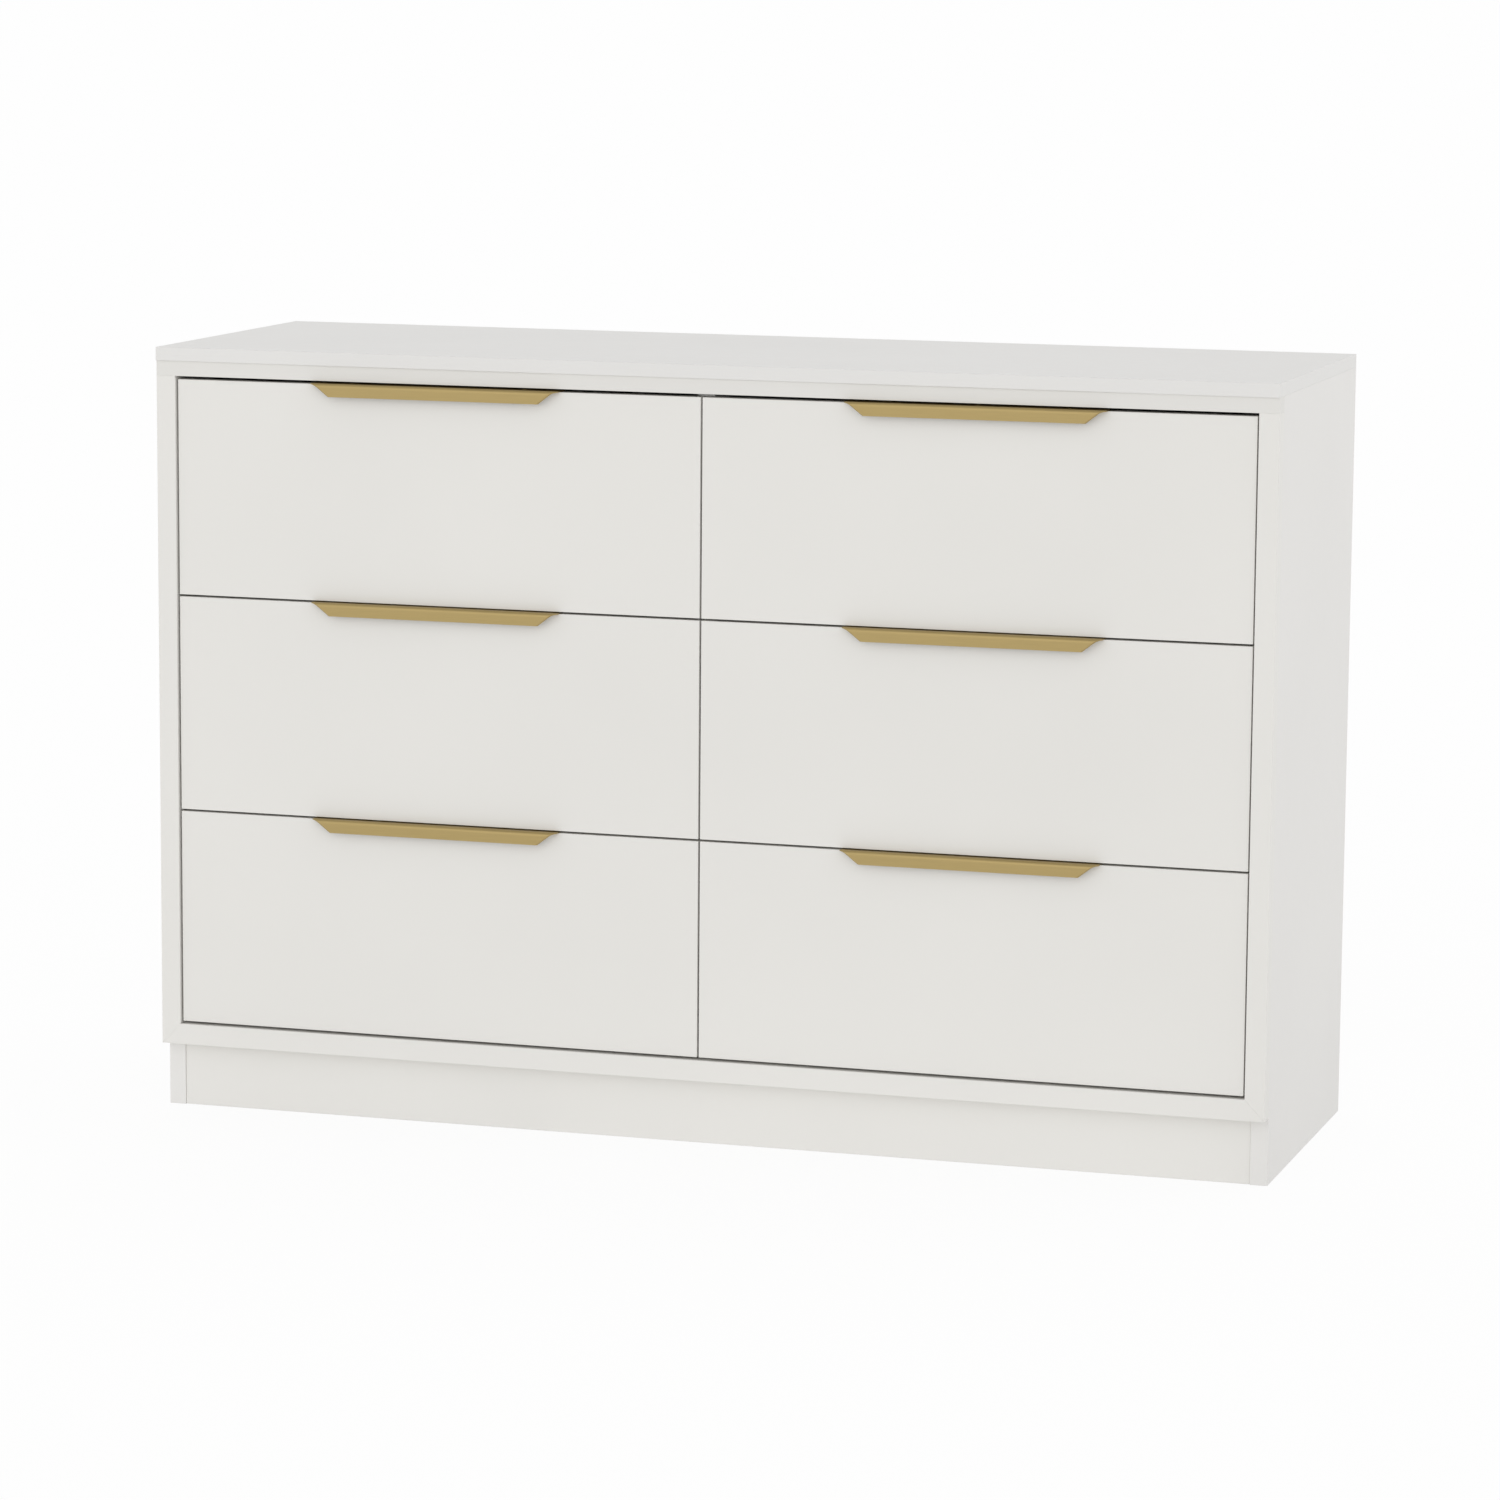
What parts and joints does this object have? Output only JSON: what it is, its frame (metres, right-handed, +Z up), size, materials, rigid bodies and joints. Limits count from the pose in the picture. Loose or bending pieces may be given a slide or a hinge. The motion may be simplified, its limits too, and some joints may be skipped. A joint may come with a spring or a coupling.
{
  "type": "dresser",
  "caption": "Low white dresser on a recessed plinth, with inset flat drawers in two columns and folded gold edge pulls; each drawer slides out.",
  "frame": {"origin": "centre of the footprint on the floor", "axes": "+X to the right seen from the front, -Y out of the front, +Z up"},
  "size_m": [1.2, 0.4, 0.815],
  "materials": {
    "white_lacquer": "matt white lacquer",
    "melamine": "white melamine-faced board",
    "hardboard": "white-faced hardboard",
    "gold_metal": "satin gold",
    "zinc_steel": "bright zinc-plated steel"
  },
  "bodies": {
    "cabinet": {"top_panel": "white_lacquer", "left_side_panel": "white_lacquer", "right_side_panel": "white_lacquer", "centre_divider": "melamine", "bottom_panel": "melamine", "back_panel": "hardboard", "top_rail": "white_lacquer", "bottom_rail": "white_lacquer", "left_stile": "white_lacquer", "right_stile": "white_lacquer", "front_stretcher": "melamine", "rear_stretcher": "melamine", "plinth_board": "white_lacquer", "rear_plinth_board": "white_lacquer", "cam_locks": "zinc_steel", "cabinet_slides_left": "zinc_steel", "cabinet_slides_centre": "zinc_steel", "cabinet_slides_right": "zinc_steel"},
    "drawer_1": {"drawer_1_front": "white_lacquer", "drawer_1_left_side": "melamine", "drawer_1_right_side": "melamine", "drawer_1_back": "melamine", "drawer_1_bottom": "melamine", "drawer_1_handle": "gold_metal", "drawer_1_slides": "zinc_steel"},
    "drawer_2": {"drawer_2_front": "white_lacquer", "drawer_2_left_side": "melamine", "drawer_2_right_side": "melamine", "drawer_2_back": "melamine", "drawer_2_bottom": "melamine", "drawer_2_handle": "gold_metal", "drawer_2_slides": "zinc_steel"},
    "drawer_3": {"drawer_3_front": "white_lacquer", "drawer_3_left_side": "melamine", "drawer_3_right_side": "melamine", "drawer_3_back": "melamine", "drawer_3_bottom": "melamine", "drawer_3_handle": "gold_metal", "drawer_3_slides": "zinc_steel"},
    "drawer_4": {"drawer_4_front": "white_lacquer", "drawer_4_left_side": "melamine", "drawer_4_right_side": "melamine", "drawer_4_back": "melamine", "drawer_4_bottom": "melamine", "drawer_4_handle": "gold_metal", "drawer_4_slides": "zinc_steel"},
    "drawer_5": {"drawer_5_front": "white_lacquer", "drawer_5_left_side": "melamine", "drawer_5_right_side": "melamine", "drawer_5_back": "melamine", "drawer_5_bottom": "melamine", "drawer_5_handle": "gold_metal", "drawer_5_slides": "zinc_steel"},
    "drawer_6": {"drawer_6_front": "white_lacquer", "drawer_6_left_side": "melamine", "drawer_6_right_side": "melamine", "drawer_6_back": "melamine", "drawer_6_bottom": "melamine", "drawer_6_handle": "gold_metal", "drawer_6_slides": "zinc_steel"}
  },
  "joints": [
    {"name": "drawer_1_slide", "type": "slide", "parent": "cabinet", "child": "drawer_1", "axis": [0, -1, 0], "range_m": [0, 0.26]},
    {"name": "drawer_2_slide", "type": "slide", "parent": "cabinet", "child": "drawer_2", "axis": [0, -1, 0], "range_m": [0, 0.26]},
    {"name": "drawer_3_slide", "type": "slide", "parent": "cabinet", "child": "drawer_3", "axis": [0, -1, 0], "range_m": [0, 0.26]},
    {"name": "drawer_4_slide", "type": "slide", "parent": "cabinet", "child": "drawer_4", "axis": [0, -1, 0], "range_m": [0, 0.26]},
    {"name": "drawer_5_slide", "type": "slide", "parent": "cabinet", "child": "drawer_5", "axis": [0, -1, 0], "range_m": [0, 0.26]},
    {"name": "drawer_6_slide", "type": "slide", "parent": "cabinet", "child": "drawer_6", "axis": [0, -1, 0], "range_m": [0, 0.26]}
  ]
}
